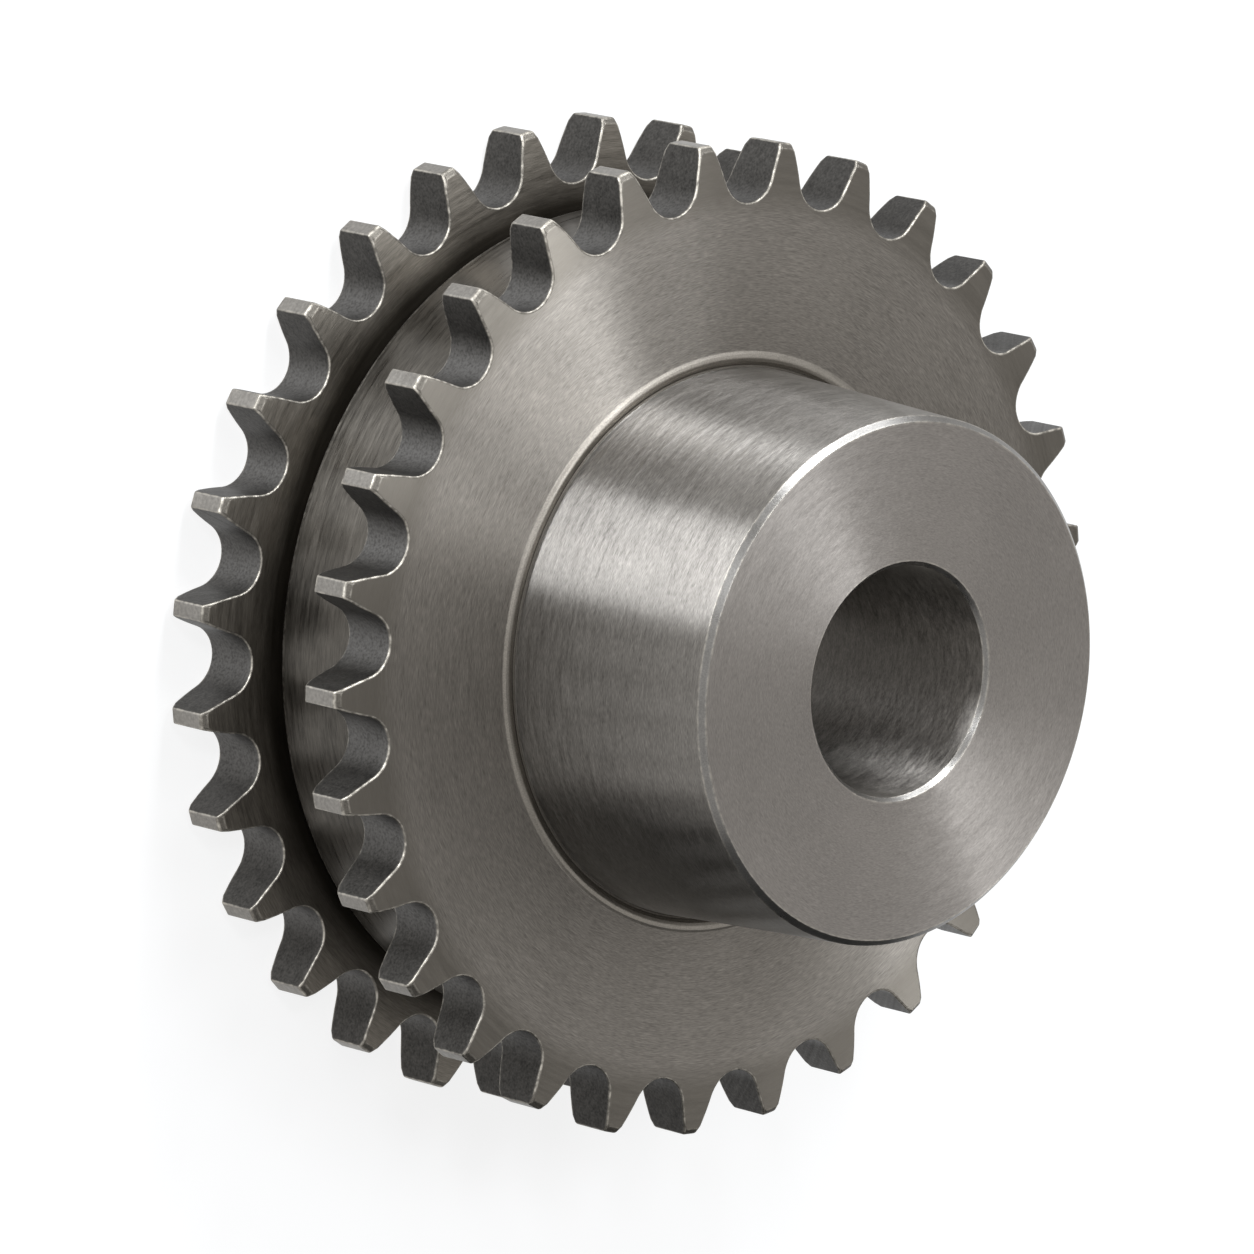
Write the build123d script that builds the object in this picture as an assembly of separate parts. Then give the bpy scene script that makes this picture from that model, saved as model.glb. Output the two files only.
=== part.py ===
from build123d import *
import math
import os

# Double sprocket for two separate single-strand roller chains, turned and hobbed from one piece
# of steel. The bore axis is Z, the flat back of the rear row lies on Z = 0 and the hub points up.

# Chain: 3/4 inch pitch, single strand
pitch = 19.05
roller_diameter = 11.91
tooth_count = 29

# Tooth form
tip_diameter = 186.6
seat_clearance = 0.06  # the seat's radius over the roller's
seat_angle = 139.0  # part of the gap that fits the roller, in degrees
flank_radius = 80.0  # convex flank from the seat to the tip
row_width = 11.7
side_taper_height = 9.5  # how far below the tip the tooth starts to thin
side_taper_depth = 1.0  # how much each side has thinned at the tip chamfer
tip_chamfer_height = 1.1
tip_chamfer_width = 0.85

# Two rows: the rear one starts on the back face and stands half a pitch round from the front one
row_spacing = 38.1
row_stagger = 0.5  # in pitches

# Drum between the rows, with a turned relief beside the rear row
drum_diameter = 155.0
relief_width = 2.5
relief_depth = 4.0
drum_edge_chamfer = 1.0
drum_root_chamfer = 1.2  # corner at the back of the front row

# Hub, slightly tapered
hub_length = 48.0
hub_base_diameter = 103.0
hub_end_diameter = 98.0
hub_chamfer = 1.1

# Turned bead round the foot of the hub, with a crevice between the two
crevice_width = 0.7
crevice_depth = 0.4
bead_width = 2.4
bead_crown = 1.0  # flat top of the bead, between its two slopes
bead_height = 0.9

# Bore, for a 1 11/16 inch shaft
bore_diameter = 42.86
bore_chamfer = 0.85

pitch_angle = 360.0 / tooth_count
pitch_radius = pitch / (2 * math.sin(math.radians(pitch_angle / 2)))
tip_radius = tip_diameter / 2
rear_face = row_width
front_row_back = row_spacing
front_face = row_spacing + row_width
hub_end = front_face + hub_length


def row_edge(face, inward):
    """Side of a tooth row as radius and height: full width, then the taper, then the tip chamfer."""
    taper_end = face + inward * side_taper_depth
    return [
        (tip_radius - side_taper_height, face),
        (tip_radius - tip_chamfer_height, taper_end),
        (tip_radius, taper_end + inward * tip_chamfer_width),
    ]


def turned_section():
    """Half section of the turned blank in radius (X) and height (Y), from the bore to the lands."""
    bore = bore_diameter / 2
    hub_base = hub_base_diameter / 2
    hub_tip = hub_end_diameter / 2
    drum = drum_diameter / 2
    drum_start = rear_face + relief_width
    bead_inside = hub_base + crevice_width
    bead_outside = bead_inside + bead_width
    bead_slope = (bead_width - bead_crown) / 2

    rear_row = row_edge(0, 1) + row_edge(rear_face, -1)[::-1]
    drum_line = [
        (drum - relief_depth, rear_face),
        (drum - relief_depth, drum_start),
        (drum - drum_edge_chamfer, drum_start),
        (drum, drum_start + drum_edge_chamfer),
        (drum, front_row_back - drum_root_chamfer),
        (drum + drum_root_chamfer, front_row_back),
    ]
    front_row = row_edge(front_row_back, 1) + row_edge(front_face, -1)[::-1]
    hub_foot = [
        (bead_outside, front_face),
        (bead_outside - bead_slope, front_face + bead_height),
        (bead_inside + bead_slope, front_face + bead_height),
        (bead_inside, front_face),
        (bead_inside - crevice_width / 2, front_face - crevice_depth),
        (hub_base, front_face),
    ]
    hub = [
        (hub_tip, hub_end - hub_chamfer),
        (hub_tip - hub_chamfer, hub_end),
        (bore + bore_chamfer, hub_end),
        (bore, hub_end - bore_chamfer),
        (bore, bore_chamfer),
        (bore + bore_chamfer, 0),
    ]
    return make_face(Polyline(*rear_row, *drum_line, *front_row, *hub_foot, *hub, close=True))


def tooth_gap():
    """Gap between two teeth: roller seat at the bottom and a convex flank on each side."""
    seat_radius = roller_diameter / 2 + seat_clearance
    half_seat = math.radians(seat_angle / 2)
    clear_radius = tip_radius + 2.0  # the gap stays open past the tips

    flank_way = (-math.cos(half_seat), math.sin(half_seat))
    seat_end = Vector(pitch_radius + seat_radius * flank_way[0], seat_radius * flank_way[1])
    centre = Vector(pitch_radius + (seat_radius + flank_radius) * flank_way[0],
                    (seat_radius + flank_radius) * flank_way[1])

    # where the flank's circle meets the clearing circle, by the cosine rule round the axis
    reach = centre.length
    spread = math.acos((reach**2 + clear_radius**2 - flank_radius**2) / (2 * reach * clear_radius))
    heading = math.atan2(centre.Y, centre.X) - spread
    flank_end = Vector(clear_radius * math.cos(heading), clear_radius * math.sin(heading))
    inward = ((seat_end + flank_end) / 2 - centre).normalized()
    flank_middle = centre + inward * flank_radius

    def mirrored(point):
        return Vector(point.X, -point.Y)

    outline = [
        ThreePointArc(mirrored(seat_end), (pitch_radius - seat_radius, 0), seat_end),
        ThreePointArc(seat_end, flank_middle, flank_end),
        Line(flank_end, mirrored(flank_end)),
        ThreePointArc(mirrored(flank_end), mirrored(flank_middle), mirrored(seat_end)),
    ]
    return make_face(Curve() + outline)


def row_gaps(face, turn):
    """All the gaps of one row, as prisms from its lower face up through its width."""
    prism = extrude(tooth_gap(), row_width)
    return [Rot(0, 0, turn + step * pitch_angle) * Pos(0, 0, face) * prism
            for step in range(tooth_count)]


def sprocket():
    blank = revolve(Plane.XZ * turned_section(), Axis.Z)
    rear = row_gaps(0, row_stagger * pitch_angle)
    front = row_gaps(front_row_back, 0)
    return blank - rear - front


part = sprocket()
os.makedirs("parts", exist_ok=True)
export_step(part, "parts/sprocket.step")
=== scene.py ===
import math

import bpy
import numpy as np
from mathutils import Matrix, Vector


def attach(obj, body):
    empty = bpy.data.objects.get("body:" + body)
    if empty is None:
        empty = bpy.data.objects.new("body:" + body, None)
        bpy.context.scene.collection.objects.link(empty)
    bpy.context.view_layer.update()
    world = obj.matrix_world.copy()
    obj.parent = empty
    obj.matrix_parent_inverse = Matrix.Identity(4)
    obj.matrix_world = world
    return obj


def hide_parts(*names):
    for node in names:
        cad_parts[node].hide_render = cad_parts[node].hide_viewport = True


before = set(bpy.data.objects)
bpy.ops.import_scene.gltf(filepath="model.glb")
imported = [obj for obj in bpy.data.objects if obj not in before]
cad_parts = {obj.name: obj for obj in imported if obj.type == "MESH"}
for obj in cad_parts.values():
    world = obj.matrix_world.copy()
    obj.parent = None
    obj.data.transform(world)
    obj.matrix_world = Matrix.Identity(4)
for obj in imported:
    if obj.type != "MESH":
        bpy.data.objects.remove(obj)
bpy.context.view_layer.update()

MM = 0.001

# Sizes in millimetres, the same as the part's, with round forms given as radii where no name says otherwise
PITCH = 19.05
TEETH = 29
ROLLER_DIAMETER = 11.91
SEAT_CLEARANCE = 0.06
SEAT_ANGLE = 139.0
FLANK = 80.0
TIP = 93.3
ROW_WIDTH = 11.7
TAPER_HEIGHT = 9.5
TAPER_DEPTH = 1.0
TIP_CHAMFER_HEIGHT = 1.1
TIP_CHAMFER_WIDTH = 0.85
SPACING = 38.1
DRUM = 77.5
RELIEF_WIDTH = 2.5
RELIEF_DEPTH = 4.0
HUB_BASE = 51.5
HUB_TIP = 49.0
HUB_LENGTH = 48.0
HUB_CHAMFER = 1.1
BORE = 21.43
BORE_CHAMFER = 0.85
CREVICE_WIDTH = 0.7
CREVICE_DEPTH = 0.4
BEAD_WIDTH = 2.4
BEAD_HEIGHT = 0.9

PITCH_ANGLE = 2 * math.pi / TEETH
PITCH_RADIUS = PITCH / (2 * math.sin(PITCH_ANGLE / 2))
SEAT = ROLLER_DIAMETER / 2 + SEAT_CLEARANCE
HALF_SEAT = math.radians(SEAT_ANGLE / 2)
TAPER_START = TIP - TAPER_HEIGHT
TAPER_END = TIP - TIP_CHAMFER_HEIGHT
REAR_FACE = ROW_WIDTH
FRONT_BACK = SPACING
FRONT_FACE = SPACING + ROW_WIDTH
HUB_END = FRONT_FACE + HUB_LENGTH
RELIEF = DRUM - RELIEF_DEPTH
RELIEF_END = REAR_FACE + RELIEF_WIDTH
BEAD_IN = HUB_BASE + CREVICE_WIDTH
BEAD_OUT = BEAD_IN + BEAD_WIDTH

# Finer forms that only this file has
EDGE = 0.3  # rounding of every tooth edge
CORNER = 0.5  # rounding of a land's two corners in the profile
TAPER_CURVE = 1.4  # a power: 1 would make the side's taper straight
TURNED_EDGE = 0.15  # rounding of the chamfers' edges
DRUM_EDGE = 0.9  # rounding beside the relief
DRUM_ROOT = 1.4  # rounding at the front row's back
RELIEF_CORNER = 0.5  # rounding of the relief's two inner corners
BEAD_LOWERED = 0.25  # how far its crown lies below the solid's
BEAD_OUTER_SHOULDER = (0.6, 0.42)  # how far in from the bead's edge, and how high
BEAD_INNER_SHOULDER = (0.4, 0.4)

# How far from an edge its wear has faded, and the wear itself, from 0 to 1; the same channel carries a
# painted highlight on the drum's edge
TOOTH_FADE = 0.42  # on the side of a tooth
WALL_FADE = 0.3  # on its wall
TURNED_FADE = 0.3
EDGE_WEAR = ((1.0, 0.5), (0.67, 1.0), (0.33, 1.0), (0.0, 0.4))  # share of the rounding left, and wear
CREASE_WEAR = 0.5
CORNER_WEAR = 0.8
CORNER_WEAR_INSIDE = 0.8  # share of it that is left halfway between the sides
HUB_WEAR = 0.6
BORE_WEAR = 0.5
# not wear but a painted highlight along the drum's rounded edge
DRUM_EDGE_HIGHLIGHT = 0.7

# Mesh: steps in half a tooth's profile and in the rounding of a turned edge, and the columns they make
SEAT_STEPS = 9
FLANK_STEPS = 6
CORNER_STEPS = 3
LAND_STEPS = 2
TURNED_STEPS = 3
BODY_PER_PITCH = 10
BODY = BODY_PER_PITCH * TEETH
TOOTH_PER_PITCH = 2 * (SEAT_STEPS + FLANK_STEPS + CORNER_STEPS + LAND_STEPS)
SPLIT = TOOTH_PER_PITCH // BODY_PER_PITCH

# Radii of the rings on a tooth's side, and of the two where its columns meet the body's
SIDE_RINGS = (92.45, TAPER_END, 91.95, 90.6, 89.2, 87.8, 86.4, 85.0, TAPER_START)
SIDE_RINGS_CLEAR = 0.1  # they stop this far short of the line where the edge's wear starts
TOOTH_BASE = 81.15
BODY_RIM = 80.2
SAME_POINT = 4  # points that agree to so many decimals are joined

# Rings that only break up the long straight runs: radii, or heights in the bore and on the drum
PLATE_RINGS = (74.0, 64.0)
BEAD_RING = BEAD_OUT + 0.5
HUB_RINGS = ((0.02, 0.3), (0.9, 16.0), (1.75, 32.0))  # how much narrower than the base, and how high
FACE_RINGS = (39.0, 30.0)
BORE_RINGS = (64.0, 32.0)
BACK_RINGS = (40.0, 60.0)
REAR_PLATE_RING = 76.0
DRUM_RING = 26.0

# Material slots
(PLATE, TIP_EDGE, FLANK_WALL, LAND, DRUM_SIDE, RELIEF_GROOVE, REAR_PLATE,
 BEAD, CREVICE, HUB_SIDE, BRIGHT, HUB_FACE, BORE_WALL, BACK) = range(14)


def arc(centre, radius, start, end, steps):
    """Points and outward directions on an arc, both ends included."""
    found = []
    for i in range(steps + 1):
        a = start + (end - start) * i / steps
        way = (math.cos(a), math.sin(a))
        found.append(((centre[0] + radius * way[0], centre[1] + radius * way[1]), way))
    return found


def half_tooth():
    """Points and normals from the bottom of a gap to the middle of a land."""
    flank_way = (-math.cos(HALF_SEAT), math.sin(HALF_SEAT))
    centre = (PITCH_RADIUS + (SEAT + FLANK) * flank_way[0], (SEAT + FLANK) * flank_way[1])
    reach = math.hypot(*centre)
    corner_reach = TIP - CORNER
    # where the corner's centre lies, by the cosine rule round the axis
    spread = math.acos((reach**2 + corner_reach**2 - (FLANK - CORNER)**2) / (2 * reach * corner_reach))
    heading = math.atan2(centre[1], centre[0]) - spread
    corner_centre = (corner_reach * math.cos(heading), corner_reach * math.sin(heading))
    flank_end = math.atan2(corner_centre[1] - centre[1], corner_centre[0] - centre[0])

    seat = arc((PITCH_RADIUS, 0), SEAT, math.pi, math.pi - HALF_SEAT, SEAT_STEPS)
    seat = [(point, (-way[0], -way[1])) for point, way in seat]
    flank = arc(centre, FLANK, -HALF_SEAT, flank_end, FLANK_STEPS)
    rounding = arc(corner_centre, CORNER, flank_end, heading, CORNER_STEPS)
    land = arc((0, 0), TIP, heading, PITCH_ANGLE / 2, LAND_STEPS)
    return seat + flank[1:] + rounding[1:] + land[1:]


def tooth_profile():
    """One pitch from gap to gap: points, normals, depth in the seat, wear of the corners and materials."""
    half = half_tooth()
    corner_start = SEAT_STEPS + FLANK_STEPS
    corner_end = corner_start + CORNER_STEPS
    deep = [0.5 + 0.5 * math.cos(math.pi * min(i, SEAT_STEPS) / SEAT_STEPS) for i in range(len(half))]
    rubbed = [CORNER_WEAR if corner_start < i < corner_end else 0.0 for i in range(len(half))]
    kinds = [FLANK_WALL] * (corner_start + 1) + [LAND] * (CORNER_STEPS - 1 + LAND_STEPS)

    points = [point for point, _ in half]
    normals = [normal for _, normal in half]
    c, s = math.cos(PITCH_ANGLE), math.sin(PITCH_ANGLE)
    for p, n in half[-2:0:-1]:
        points.append((p[0] * c + p[1] * s, p[0] * s - p[1] * c))
        normals.append((n[0] * c + n[1] * s, n[0] * s - n[1] * c))
    return (np.array(points), np.array(normals), deep + deep[-2:0:-1], rubbed + rubbed[-2:0:-1],
            kinds + kinds[::-1])


def turned(values, angle):
    """Points or directions turned round the axis."""
    c, s = math.cos(angle), math.sin(angle)
    return np.stack([values[:, 0] * c - values[:, 1] * s, values[:, 0] * s + values[:, 1] * c], 1)


def side_depth(radius):
    """How far the side of a tooth lies below its row's face."""
    along = np.clip((radius - TAPER_START) / (TAPER_END - TAPER_START), 0, 1)
    over = np.clip((radius - TAPER_END) / (TIP - TAPER_END), 0, 1)
    return TAPER_DEPTH * along**TAPER_CURVE + TIP_CHAMFER_WIDTH * over


def ring(points, z, wear_and_highlight, kind, deep=0.0):
    """A ring: points, wear and painted edge highlight, depth in a seat, and the material of the band up to
    the next ring.
    """
    z, wear_and_highlight, deep, kind = (np.broadcast_to(v, (len(points),)) for v in (z, wear_and_highlight, deep, kind))
    return np.column_stack([points, z]), wear_and_highlight, deep, kind


def tooth_row(low, start, kind_low, kind_high):
    """The rings of a row of teeth, from its lower side over the walls to its upper side."""
    points, normals, deep, rubbed, walls = tooth_profile()
    points = np.concatenate([turned(points, start + k * PITCH_ANGLE) for k in range(TEETH)])
    normals = np.concatenate([turned(normals, start + k * PITCH_ANGLE) for k in range(TEETH)])
    deep, rubbed, walls = (np.array(values * TEETH) for values in (deep, rubbed, walls))
    high = low + ROW_WIDTH

    faded = points - normals * TOOTH_FADE
    faded_radius = np.hypot(*faded.T)
    way = faded / faded_radius[:, None]

    # one side from its base outwards: points, depth below the face and wear
    side = [(way * TOOTH_BASE, np.zeros(len(way)), 0.0)]
    for radius in SIDE_RINGS[::-1]:
        here = np.where(radius < faded_radius - SIDE_RINGS_CLEAR, radius, faded_radius)
        crease_wear = np.where(here == radius, CREASE_WEAR, 0.0) if radius == TAPER_END else 0.0
        side.append((way * here[:, None], side_depth(here), crease_wear))
    side.append((faded, side_depth(faded_radius), 0.0))
    for turn_left, wear_and_highlight in EDGE_WEAR:
        a = turn_left * math.pi / 2
        p = points - normals * EDGE * (1 - math.cos(a))
        side.append((p, side_depth(np.hypot(*p.T)) + EDGE * (1 - math.sin(a)), wear_and_highlight))
    _, edge_depth, last_wear = side.pop()
    edge_wear = np.maximum(last_wear, rubbed)
    crease = SIDE_RINGS[::-1].index(TAPER_END) + 1

    lower = [ring(p, low + depth, wear_and_highlight, kind_low if i < crease else TIP_EDGE)
             for i, (p, depth, wear_and_highlight) in enumerate(side)]
    upper = [ring(p, high - depth, wear_and_highlight, kind_high if i <= crease else TIP_EDGE)
             for i, (p, depth, wear_and_highlight) in enumerate(side)]
    wall = [
        ring(points, low + edge_depth, edge_wear, walls, deep),
        ring(points, low + edge_depth + WALL_FADE, rubbed, walls, deep),
        ring(points, (low + high) / 2, rubbed * CORNER_WEAR_INSIDE, walls, deep),
        ring(points, high - edge_depth - WALL_FADE, rubbed, walls, deep),
        ring(points, high - edge_depth, edge_wear, TIP_EDGE, deep),
    ]
    return lower + wall + upper[::-1]


def corner(radius, z, kind, rounding=0.0, wear_and_highlight=0.0):
    """A corner of the turned outline, and the material of the run after it."""
    return radius, z, kind, rounding, wear_and_highlight


def turned_run(corners):
    """The rings of a run of the turned outline. Its first and last corners are sharp."""
    angles = np.arange(BODY) * 2 * math.pi / BODY
    circle = np.stack([np.cos(angles), np.sin(angles)], 1)
    found = []
    for i, (radius, z, kind, rounding, wear_and_highlight) in enumerate(corners):
        if not rounding:
            found.append(ring(circle * radius, z, wear_and_highlight, kind))
            continue
        tip = np.array((radius, z))
        before = corners[i - 1][:2] - tip
        after = corners[i + 1][:2] - tip
        before /= np.hypot(*before)
        after /= np.hypot(*after)
        half = math.acos(max(-1, min(1, float(before @ after)))) / 2
        back = rounding / math.tan(half)
        middle = (before + after) / np.hypot(*(before + after))
        centre = tip + middle * rounding / math.sin(half)
        first = tip + before * back - centre
        last = tip + after * back - centre
        first_angle = math.atan2(first[1], first[0])
        sweep = (math.atan2(last[1], last[0]) - first_angle + math.pi) % (2 * math.pi) - math.pi
        last_kind = corners[i - 1][2]
        if wear_and_highlight:
            p = tip + before * (back + TURNED_FADE)
            found.append(ring(circle * p[0], p[1], 0.0, last_kind))
        for k in range(TURNED_STEPS + 1):
            a = first_angle + sweep * k / TURNED_STEPS
            p = centre + rounding * np.array((math.cos(a), math.sin(a)))
            found.append(ring(circle * p[0], p[1], wear_and_highlight, kind if k >= TURNED_STEPS / 2 else last_kind))
        if wear_and_highlight:
            p = tip + after * (back + TURNED_FADE)
            found.append(ring(circle * p[0], p[1], 0.0, kind))
    return found


def hub_foot():
    """The bead and the crevice round the foot of the hub."""
    bead_middle = (BEAD_IN + BEAD_OUT) / 2
    outer_in, outer_height = BEAD_OUTER_SHOULDER
    inner_in, inner_height = BEAD_INNER_SHOULDER
    return [
        corner(BEAD_RING, FRONT_FACE, PLATE),
        corner(BEAD_OUT, FRONT_FACE, BEAD, rounding=0.6),
        corner(BEAD_OUT - outer_in, FRONT_FACE + outer_height, BEAD, rounding=0.4),
        corner(bead_middle, FRONT_FACE + BEAD_HEIGHT - BEAD_LOWERED, BEAD, rounding=0.9),
        corner(BEAD_IN + inner_in, FRONT_FACE + inner_height, BEAD, rounding=0.3),
        corner(BEAD_IN, FRONT_FACE, CREVICE, rounding=0.15),
        corner(HUB_BASE + CREVICE_WIDTH / 2, FRONT_FACE - CREVICE_DEPTH / 2, CREVICE, rounding=0.1),
        corner(HUB_BASE, FRONT_FACE, HUB_SIDE),
    ]


def hub_and_bore():
    """The hub's side and end, the bore and the back face."""
    return [
        *(corner(HUB_BASE - narrower, FRONT_FACE + height, HUB_SIDE) for narrower, height in HUB_RINGS),
        corner(HUB_TIP, HUB_END - HUB_CHAMFER, BRIGHT, TURNED_EDGE, HUB_WEAR),
        corner(HUB_TIP - HUB_CHAMFER, HUB_END, HUB_FACE, TURNED_EDGE, HUB_WEAR),
        *(corner(radius, HUB_END, HUB_FACE) for radius in FACE_RINGS),
        corner(BORE + BORE_CHAMFER, HUB_END, BRIGHT, TURNED_EDGE, HUB_WEAR),
        corner(BORE, HUB_END - BORE_CHAMFER, BORE_WALL, TURNED_EDGE, BORE_WEAR),
        *(corner(BORE, height, BORE_WALL) for height in BORE_RINGS),
        corner(BORE, BORE_CHAMFER, BRIGHT, TURNED_EDGE, BORE_WEAR),
        corner(BORE + BORE_CHAMFER, 0, BACK, TURNED_EDGE, HUB_WEAR),
        *(corner(radius, 0, BACK) for radius in BACK_RINGS),
    ]


def drum():
    """The relief beside the rear row, the drum and the back of the front row."""
    return [
        corner(BODY_RIM, REAR_FACE, REAR_PLATE),
        corner(REAR_PLATE_RING, REAR_FACE, REAR_PLATE),
        corner(RELIEF, REAR_FACE, RELIEF_GROOVE, RELIEF_CORNER),
        corner(RELIEF, RELIEF_END, RELIEF_GROOVE, RELIEF_CORNER),
        # painted highlight along the drum's rounded edge, given as wear
        corner(DRUM, RELIEF_END, DRUM_SIDE, DRUM_EDGE, DRUM_EDGE_HIGHLIGHT),
        corner(DRUM, DRUM_RING, DRUM_SIDE),
        corner(DRUM, FRONT_BACK, REAR_PLATE, DRUM_ROOT),
        corner(BODY_RIM, FRONT_BACK, REAR_PLATE),
    ]


def sprocket_rings():
    """All the rings, once round the part's section."""
    plate = [corner(radius, FRONT_FACE, PLATE) for radius in (BODY_RIM, *PLATE_RINGS)]
    back_rim = [corner(BODY_RIM, 0, BACK)]
    return [
        *turned_run(plate + hub_foot() + hub_and_bore() + back_rim),
        *tooth_row(0, PITCH_ANGLE / 2, BACK, REAR_PLATE),
        *turned_run(drum()),
        *tooth_row(FRONT_BACK, 0, REAR_PLATE, PLATE),
    ]


def merged(rings):
    """The rings' points with equal ones joined, their wear and painted highlight, their depth, and each
    ring's places among them.
    """
    points, wear_and_highlight, deep, _ = (np.concatenate(column) for column in zip(*rings))
    _, first, place = np.unique(np.round(points, SAME_POINT), axis=0, return_index=True, return_inverse=True)
    order = np.argsort(first)
    rank = np.empty_like(order)
    rank[order] = np.arange(len(order))
    kept = first[order]
    ends = np.cumsum([len(each[0]) for each in rings])[:-1]
    return points[kept], wear_and_highlight[kept], deep[kept], np.split(rank[place.ravel()], ends)


def joined_mesh(name, rings):
    """One closed mesh from the rings, the last joined to the first."""
    points, wear_and_highlight, deep, places = merged(rings)
    faces, kinds = [], []

    def face(corners, kind):
        kept = [c for i, c in enumerate(corners) if c != corners[i - 1]]
        if len(set(kept)) == len(kept) > 2:
            faces.append(kept)
            kinds.append(int(kind))

    for i, a in enumerate(places):
        b = places[(i + 1) % len(places)]
        kind = rings[i][3]
        if len(a) == len(b):
            for k in range(len(a)):
                q = (k + 1) % len(a)
                face([a[k], a[q], b[q], b[k]], kind[k])
            continue
        # from body columns to tooth columns or back; the rear row starts in the middle of a pitch
        outwards = len(a) < len(b)
        body, teeth = (a, b) if outwards else (b, a)
        rear = points[body[0]][2] < (REAR_FACE + FRONT_BACK) / 2
        shift = BODY_PER_PITCH // 2 if rear else 0
        for k in range(BODY):
            strip = [teeth[((k - shift) * SPLIT + t) % len(teeth)] for t in range(SPLIT + 1)]
            around = [body[(k + 1) % BODY], body[k]] + strip
            face(around[::-1] if outwards else around, kind[0])

    mesh = bpy.data.meshes.new(name)
    mesh.from_pydata((points * MM).tolist(), [], faces)
    mesh.update()
    mesh.polygons.foreach_set("material_index", kinds)
    mesh.polygons.foreach_set("use_smooth", [True] * len(faces))
    for title, values in (("wear_and_highlight", wear_and_highlight), ("deep", deep)):
        mesh.attributes.new(title, "FLOAT", "POINT").data.foreach_set("value", values.astype(np.float32))
    # soft shading that keeps the wide flat faces flat: vertex normals weighted by face area
    total = np.zeros((len(points), 3))
    for polygon in mesh.polygons:
        total[list(polygon.vertices)] += np.array(polygon.normal) * polygon.area
    total /= np.linalg.norm(total, axis=1)[:, None]
    mesh.normals_split_custom_set_from_vertices(total.tolist())
    return mesh


class Nodes:
    """Short forms for building a node tree."""

    def __init__(self, tree):
        self.tree = tree

    def node(self, kind, **settings):
        made = self.tree.nodes.new("ShaderNode" + kind)
        for key, value in settings.items():
            setattr(made, key, value)
        return made

    def put(self, socket, value):
        """Link an output to a socket, or set the socket to a value."""
        if hasattr(value, "is_linked"):
            self.tree.links.new(value, socket)
        else:
            socket.default_value = value

    def fed(self, kind, *values, **settings):
        """A node with its first inputs filled, in order."""
        made = self.node(kind, **settings)
        for socket, value in zip(made.inputs, values):
            self.put(socket, value)
        return made

    def math(self, operation, a, b, clamp=False):
        return self.fed("Math", a, b, operation=operation, use_clamp=clamp).outputs[0]

    def centred(self, value, width):
        """A value between 0 and 1, moved to lie round zero and made that wide."""
        return self.math("MULTIPLY", self.math("SUBTRACT", value, 0.5), width)

    def noise(self, vector, scale=1.0, detail=3.0):
        made = self.fed("TexNoise", vector)
        made.inputs["Scale"].default_value = scale
        made.inputs["Detail"].default_value = detail
        return made.outputs["Fac"]

    def spread_out(self, value, low, high, to_low=0.0, to_high=1.0):
        return self.fed("MapRange", value, low, high, to_low, to_high).outputs["Result"]

    def blend(self, factor, a, b):
        made = self.node("Mix", data_type="RGBA")
        self.put(made.inputs["Factor"], factor)
        colours = [socket for socket in made.inputs if socket.type == "RGBA"]
        for socket, colour in zip(colours, (a, b)):
            self.put(socket, (*colour, 1) if isinstance(colour, tuple) else colour)
        return next(socket for socket in made.outputs if socket.type == "RGBA")

    def seen(self):
        """1 for what the camera sees, directly, in a reflection or through glass, and 0 for the light."""
        path = self.node("LightPath").outputs
        direct = self.math("MAXIMUM", path["Is Camera Ray"], path["Is Glossy Ray"])
        return self.math("MAXIMUM", direct, path["Is Transmission Ray"])


# Noise cells in a millimetre across the turned rings, and in a radian along them
FINE_RINGS = (3.6, 24.0)
BROAD_RINGS = (1.3, 7.0)
BRUSH_STROKES = (7.5, 46.0)

# Ranges of noise that are spread out, and what the last two become: the share of the seat's painted light,
# and of wear and the drum edge's painted highlight
BROAD_RANGE = (0.3, 0.7)
SEAT_LIGHT_MOTTLE = (0.35, 0.6, 0.4, 1.0)
CHIPPING = (0.42, 0.64, 0.2, 1.0)

# The same for every steel
CHIPS = 0.8  # noise cells in a millimetre of a worn line
BRUSHED_FROM = 0.5  # anisotropy above which brush strokes take the place of the grain
COARSE_UP_TO = 2.0  # grain scale up to which the grain needs more layers of noise
STAIN_WAVE = 3.0  # millimetres between the inner and outer reach of the wavy edge of a stain and of painted shade
DARKER = 0.45
LIGHTER = 1.55
ROUGHNESS_SPREAD = 0.05
BROAD_BUMP = 2.0  # height of the broad rings over the fine ones
SHINE_TURN = 0.25  # a quarter turn, so that highlights are drawn out across the rings
# colour of worn edges, and of the painted highlight along the drum's edge
WORN_AND_HIGHLIGHT_COLOUR = (0.43, 0.4, 0.35)


def turned_place(tree):
    """The place in millimetres, its radius, and a function for noise places drawn out along the rings."""
    scaled = tree.fed("VectorMath", tree.node("TexCoord").outputs["Object"], operation="SCALE")
    scaled.inputs["Scale"].default_value = 1 / MM
    where = scaled.outputs[0]
    x, y, z = tree.fed("SeparateXYZ", where).outputs
    flat = tree.fed("CombineXYZ", x, y).outputs[0]
    radius = tree.fed("VectorMath", flat, operation="LENGTH").outputs["Value"]
    unit = tree.fed("VectorMath", flat, operation="NORMALIZE").outputs[0]
    unit_x, unit_y, _ = tree.fed("SeparateXYZ", unit).outputs

    def along_rings(across, along):
        return tree.fed(
            "CombineXYZ",
            tree.math("MULTIPLY", tree.math("ADD", radius, z), across),
            tree.math("MULTIPLY", unit_x, along),
            tree.math("MULTIPLY", unit_y, along),
        ).outputs[0]

    return where, radius, along_rings


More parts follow.
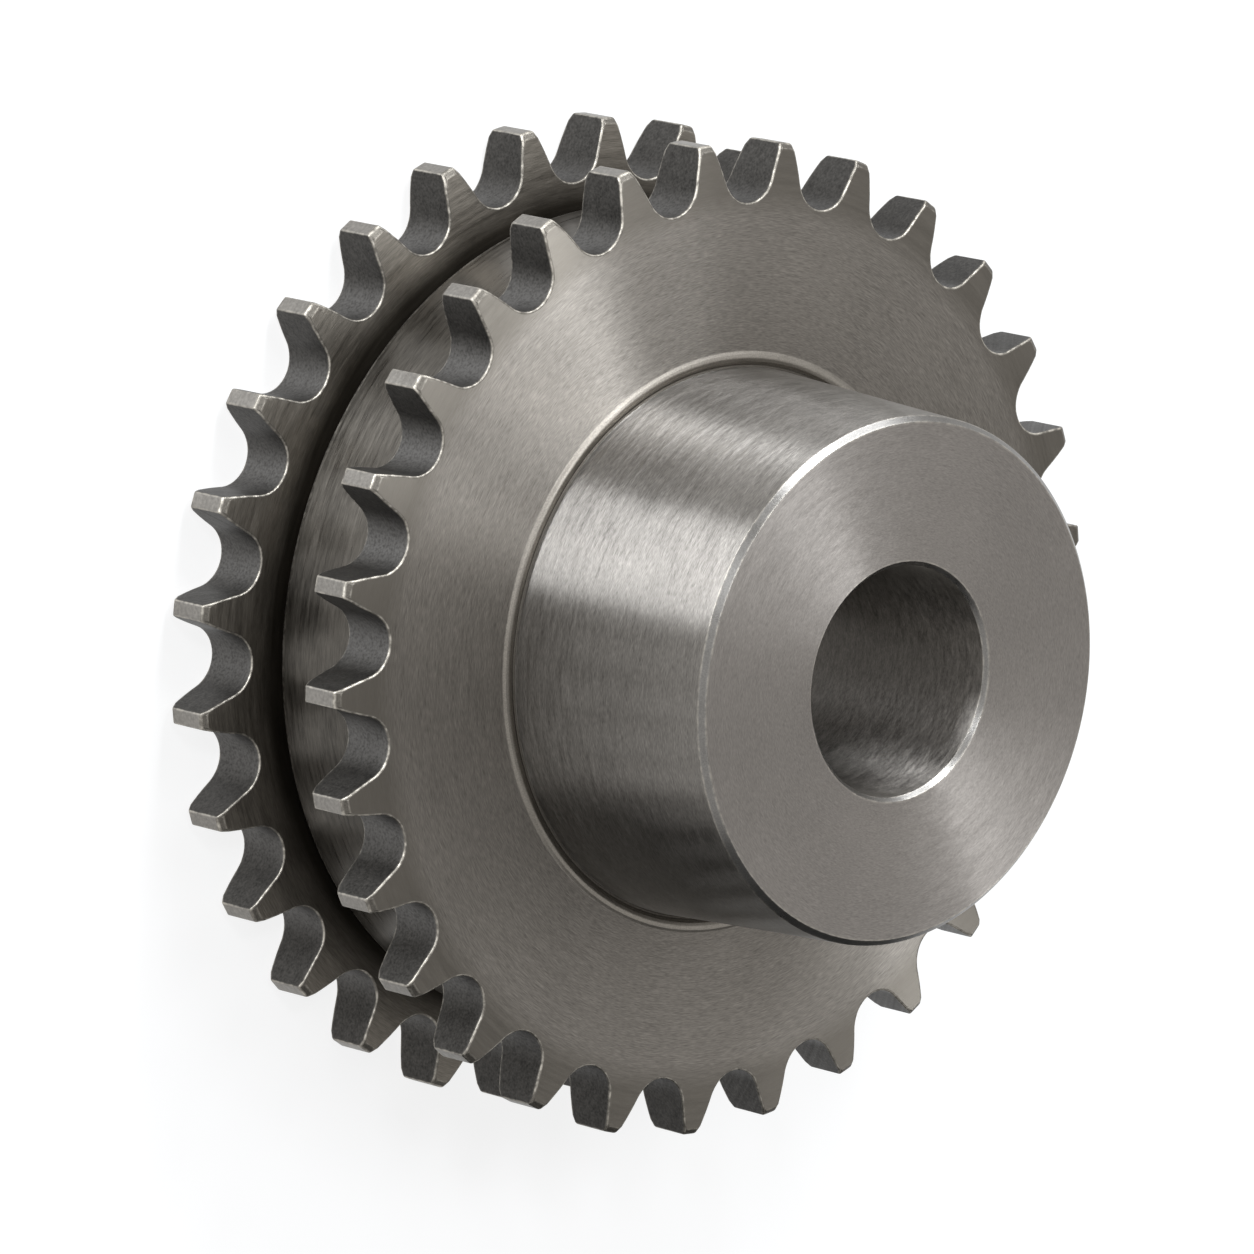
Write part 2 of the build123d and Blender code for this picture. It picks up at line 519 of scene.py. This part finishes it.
def add_bump(tree, shader, heights):
    """A bump of the sum of one or two heights in millimetres, or none."""
    if not heights:
        return
    bump = tree.node("Bump")
    bump.inputs["Distance"].default_value = MM
    tree.put(bump.inputs["Height"], tree.math("ADD", *heights) if len(heights) > 1 else heights[0])
    tree.put(shader.inputs["Normal"], bump.outputs["Normal"])


def steel(name, colour, rough, rings_bump=0.0, grain_bump=0.0, anisotropy=0.0, patches=0.12,
          patch_scale=0.045, streaks=0.1, speckle=0.0, grain_scale=3.6, stain_and_shade=None, seat=None):
    """Bare steel: turned rings, larger patches, a grain or brush strokes, stains, painted shade and light,
    and the worn line along edges.
    """
    material = bpy.data.materials.new(name)
    material.use_nodes = True
    tree = Nodes(material.node_tree)
    shader = material.node_tree.nodes["Principled BSDF"]
    shader.inputs["Metallic"].default_value = 1.0
    shader.inputs["Anisotropic"].default_value = anisotropy
    shader.inputs["Anisotropic Rotation"].default_value = SHINE_TURN if anisotropy else 0.0

    where, radius, along_rings = turned_place(tree)
    fine = tree.noise(along_rings(*FINE_RINGS))
    broad = tree.noise(along_rings(*BROAD_RINGS))
    cloud = tree.noise(where, patch_scale)
    if anisotropy > BRUSHED_FROM:
        grit = tree.noise(along_rings(*BRUSH_STROKES), detail=1.0)
    else:
        grit = tree.noise(where, grain_scale, detail=5.0 if grain_scale <= COARSE_UP_TO else 1.5)

    tone = tree.centred(fine, streaks * 2)
    tone = tree.math("ADD", tone, tree.centred(broad, streaks * 2))
    tone = tree.math("ADD", tone, tree.centred(cloud, patches * 2))
    if speckle:
        tone = tree.math("ADD", tone, tree.centred(grit, speckle * 2))
    factor = tree.math("ADD", tone, 0.5, clamp=True)
    paint = tree.blend(factor, tuple(c * DARKER for c in colour), tuple(c * LIGHTER for c in colour))
    roughness = tree.spread_out(broad, *BROAD_RANGE, rough - ROUGHNESS_SPREAD, rough + ROUGHNESS_SPREAD)

    # a stain by radius; on the rear plate the same is painted shade, with oil dirt, darker towards the
    # relief groove
    if stain_and_shade:
        stain_and_shade_colour, clean_radius, full_radius, amount, rougher = stain_and_shade
        wavy = tree.math("ADD", radius, tree.centred(cloud, STAIN_WAVE))
        stain_and_shade_cover = tree.math("MULTIPLY", tree.spread_out(wavy, clean_radius, full_radius), amount)
        paint = tree.blend(stain_and_shade_cover, paint, stain_and_shade_colour)
        roughness = tree.math("ADD", roughness, tree.math("MULTIPLY", stain_and_shade_cover, rougher))

    # painted light: a lighter, mottled colour in the bottom of each gap stands in for a reflection
    if seat:
        deep = tree.node("Attribute", attribute_name="deep").outputs["Fac"]
        seat_light = tree.math("MULTIPLY", deep, tree.spread_out(grit, *SEAT_LIGHT_MOTTLE))
        paint = tree.blend(seat_light, paint, seat)

    # wear along edges, and the painted highlight on the drum's edge, chipped by noise
    wear_and_highlight = tree.node("Attribute", attribute_name="wear_and_highlight").outputs["Fac"]
    chipped = tree.spread_out(tree.noise(where, CHIPS, detail=4.0), *CHIPPING)
    paint = tree.blend(tree.math("MULTIPLY", wear_and_highlight, chipped, clamp=True), paint, WORN_AND_HIGHLIGHT_COLOUR)
    tree.put(shader.inputs["Base Color"], paint)
    tree.put(shader.inputs["Roughness"], roughness)

    heights = []
    if rings_bump:
        both = tree.math("ADD", fine, tree.math("MULTIPLY", broad, BROAD_BUMP))
        heights.append(tree.math("MULTIPLY", both, rings_bump))
    if grain_bump:
        heights.append(tree.math("MULTIPLY", grit, grain_bump))
    add_bump(tree, shader, heights)
    if anisotropy:
        tangent = tree.node("Tangent", direction_type="RADIAL", axis="Z")
        tree.put(shader.inputs["Tangent"], tangent.outputs[0])
    return material


# Stains and painted shade: colour, radius where it starts, radius where it is full, how much it covers,
# added roughness
TOOTH_STAIN = ((0.166, 0.1515, 0.13), 79.5, 84.5, 0.85, 0.04)
# painted shade, with oil dirt: the rear plate darkens towards the relief groove beside the drum
GROOVE_SHADE_AND_DIRT = ((0.02, 0.0165, 0.012), 83.0, 77.5, 0.92, 0.05)

mesh = joined_mesh("sprocket_surface", sprocket_rings())
sprocket = bpy.data.objects.new("sprocket_steel", mesh)
bpy.context.scene.collection.objects.link(sprocket)

# In the order of the material slots
for material in (
    steel("plate_face", (0.229, 0.211, 0.188), 0.465, rings_bump=0.006, grain_bump=0.01, anisotropy=0.98,
          streaks=0.16, speckle=0.46, stain_and_shade=TOOTH_STAIN),
    steel("tip_edge", (0.105, 0.096, 0.083), 0.5, grain_bump=0.02, speckle=0.5),
    # tooth flank: its dark colour is painted shade between the teeth, and its lighter seat colour a painted
    # reflection
    steel("tooth_flank", (0.055, 0.052, 0.048), 0.5, grain_bump=0.05, patches=0.3, patch_scale=0.5,
          streaks=0.0, speckle=0.75, grain_scale=1.9, seat=(0.12, 0.1155, 0.1105)),
    steel("tooth_land", (0.225, 0.212, 0.193), 0.42, grain_bump=0.02, anisotropy=0.3, speckle=0.4,
          grain_scale=1.6),
    steel("drum_side", (0.095, 0.087, 0.076), 0.31, rings_bump=0.01, grain_bump=0.01, anisotropy=0.8,
          patches=0.9, patch_scale=0.06, streaks=0.4, speckle=0.35),
    steel("relief_groove", (0.1, 0.088, 0.073), 0.5, rings_bump=0.003),
    # the rear plate's darkening towards the relief groove is painted shade with oil dirt
    steel("rear_plate", (0.158, 0.143, 0.122), 0.42, rings_bump=0.008, grain_bump=0.016, anisotropy=0.6,
          streaks=0.25, speckle=0.35, stain_and_shade=GROOVE_SHADE_AND_DIRT),
    steel("hub_bead", (0.215, 0.197, 0.172), 0.38, rings_bump=0.002, speckle=0.35),
    steel("bead_crevice", (0.1, 0.09, 0.077), 0.6, speckle=0.3),
    steel("hub_side", (0.213, 0.2, 0.183), 0.355, rings_bump=0.007, grain_bump=0.012, anisotropy=1.0,
          streaks=0.2, speckle=0.5),
    steel("bright_chamfer", (0.178, 0.171, 0.161), 0.3, rings_bump=0.001, speckle=0.3),
    steel("hub_face", (0.226, 0.209, 0.192), 0.42, rings_bump=0.004, grain_bump=0.005, anisotropy=0.9,
          streaks=0.14, speckle=0.31),
    steel("bore_wall", (0.235, 0.219, 0.199), 0.42, rings_bump=0.008, grain_bump=0.005, anisotropy=0.9,
          streaks=0.4, speckle=0.3),
    steel("back_face", (0.2, 0.1855, 0.168), 0.4, rings_bump=0.005, grain_bump=0.008, anisotropy=1.0,
          streaks=0.18, speckle=0.3),
):
    mesh.materials.append(material)

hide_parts("sprocket")
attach(sprocket, "root")

WHITE = (1, 1, 1, 1)
NEAR_BLACK = (0.01, 0.01, 0.01, 1)


def sheet(name, material_name, size, location, rotation=(0, 0, 0)):
    """A flat sheet with a new material of its own, and that material's node tree."""
    bpy.ops.mesh.primitive_plane_add(size=1.0, location=location, rotation=rotation)
    made = bpy.context.object
    made.name = name
    made.scale = (*size, 1.0)
    material = bpy.data.materials.new(material_name)
    material.use_nodes = True
    made.data.materials.append(material)
    return made, material.node_tree


# Floor, in metres: pale, and still holding the object's shadow
FLOOR_SIZE = 12.0
FLOOR_DROP = 0.0002
FLOOR_GREY = (0.25, 0.25, 0.25, 1)
FLOOR_GLOW = 0.84

floor, floor_tree = sheet("floor", "floor_white", (FLOOR_SIZE, FLOOR_SIZE), (0, 0, -FLOOR_DROP))
floor_tree.nodes.clear()
tree = Nodes(floor_tree)
matte = tree.fed("BsdfDiffuse", FLOOR_GREY)
glow = tree.fed("Emission", WHITE, tree.math("MULTIPLY", tree.seen(), FLOOR_GLOW))
tree.fed("OutputMaterial", tree.fed("AddShader", matte.outputs[0], glow.outputs[0]).outputs[0])

# World: white where it is seen, plain light elsewhere
WORLD_LIGHT = 0.15

scene = bpy.context.scene
world = scene.world or bpy.data.worlds.new("world")
scene.world = world
world.use_nodes = True
world.node_tree.nodes.clear()
tree = Nodes(world.node_tree)
plain = tree.fed("Background", WHITE, WORLD_LIGHT)
white = tree.fed("Background", WHITE, 1.0)
tree.fed("OutputWorld", tree.fed("MixShader", tree.seen(), plain.outputs[0], white.outputs[0]).outputs[0])

# Camera: aim, distance and the three angles, and the direction towards it
AIM = Vector((2.39, -12.63, 36.94)) * MM
DISTANCE = 2187.6 * MM
AZIMUTH, ELEVATION, ROLL = (math.radians(v) for v in (5.817, 46.964, 102.598))
SENSOR = 36.0
LENS = 338.7
FAR_CLIP = 50.0
FLAT_REACH = math.cos(ELEVATION)
TO_CAMERA = Vector((math.sin(AZIMUTH) * FLAT_REACH, -math.cos(AZIMUTH) * FLAT_REACH, math.sin(ELEVATION)))

level_right = (-TO_CAMERA).cross(Vector((0, 0, 1))).normalized()
level_up = level_right.cross(-TO_CAMERA)
right = math.cos(ROLL) * level_right + math.sin(ROLL) * level_up
up = TO_CAMERA.cross(right)
camera_data = bpy.data.cameras.new("camera")
camera_data.sensor_width = SENSOR
camera_data.lens = LENS
camera_data.clip_end = FAR_CLIP
camera = bpy.data.objects.new("camera", camera_data)
scene.collection.objects.link(camera)
turn = Matrix((right, up, TO_CAMERA)).transposed().to_4x4()
camera.matrix_world = Matrix.Translation(AIM + TO_CAMERA * DISTANCE) @ turn
scene.camera = camera

# Lamps, in metres and watts
LAMP_AIM = Vector((0, 0, 0.06))
LAMP_DISTANCE = 1.6
LAMP_COLOUR = (0.955, 0.995, 1.045)


def soft_box(name, turn, lean, width, height, power):
    """A lamp whose highlight falls at that angle round the axis. The more it leans, the lower it lies."""
    data = bpy.data.lights.new(name, "AREA")
    data.shape = "RECTANGLE"
    data.size, data.size_y = width, height
    data.energy = power
    data.color = LAMP_COLOUR
    lamp = bpy.data.objects.new(name, data)
    scene.collection.objects.link(lamp)
    a = math.radians(turn)
    x = lean * math.cos(a) - TO_CAMERA.x
    y = lean * math.sin(a) - TO_CAMERA.y
    way = Vector((x, y, math.sqrt(max(0.0, 1 - x * x - y * y)))).normalized()
    lamp.location = LAMP_AIM + way * LAMP_DISTANCE
    lamp.rotation_euler = way.to_track_quat("Z", "Y").to_euler()


soft_box("key_left", 261.5, 1.6455, width=1.1, height=0.28, power=33.5)
soft_box("key_right", 230, 1.2, width=0.26, height=0.8, power=18.2)
soft_box("key_top", 242, 0.75, width=0.56, height=0.45, power=8.3)
soft_box("side_left", 213, 1.05, width=0.5, height=0.3, power=5.0)
soft_box("bore_light", 263, 1.28, width=0.2, height=0.2, power=3.0)


def card(name, material_name, size, location, tilt):
    """A sheet with a near-black surface that shows only in reflections, and its shader."""
    made, card_tree = sheet(name, material_name, size, location, (0, tilt, 0))
    made.visible_camera = made.visible_diffuse = made.visible_shadow = False
    shader = card_tree.nodes["Principled BSDF"]
    shader.inputs["Base Color"].default_value = NEAR_BLACK
    return made, shader


# Dark card beside the part, below the picture, for the shaded side of the hub
flag, flag_shader = card("dark_card", "card_black", (0.66, 0.715), (0.36, 0.2725, 0.25), -math.pi / 4)
flag_shader.inputs["Roughness"].default_value = 0.9

# Grey card overhead, which keeps the faces beside the hub from being lit all round
over, over_shader = card("grey_card", "card_grey", (0.5, 0.55), (0.33, 0.0, 1.0), math.radians(18))
over_shader.inputs["Emission Color"].default_value = WHITE
over_shader.inputs["Emission Strength"].default_value = 0.35

scene.view_settings.view_transform = "Standard"
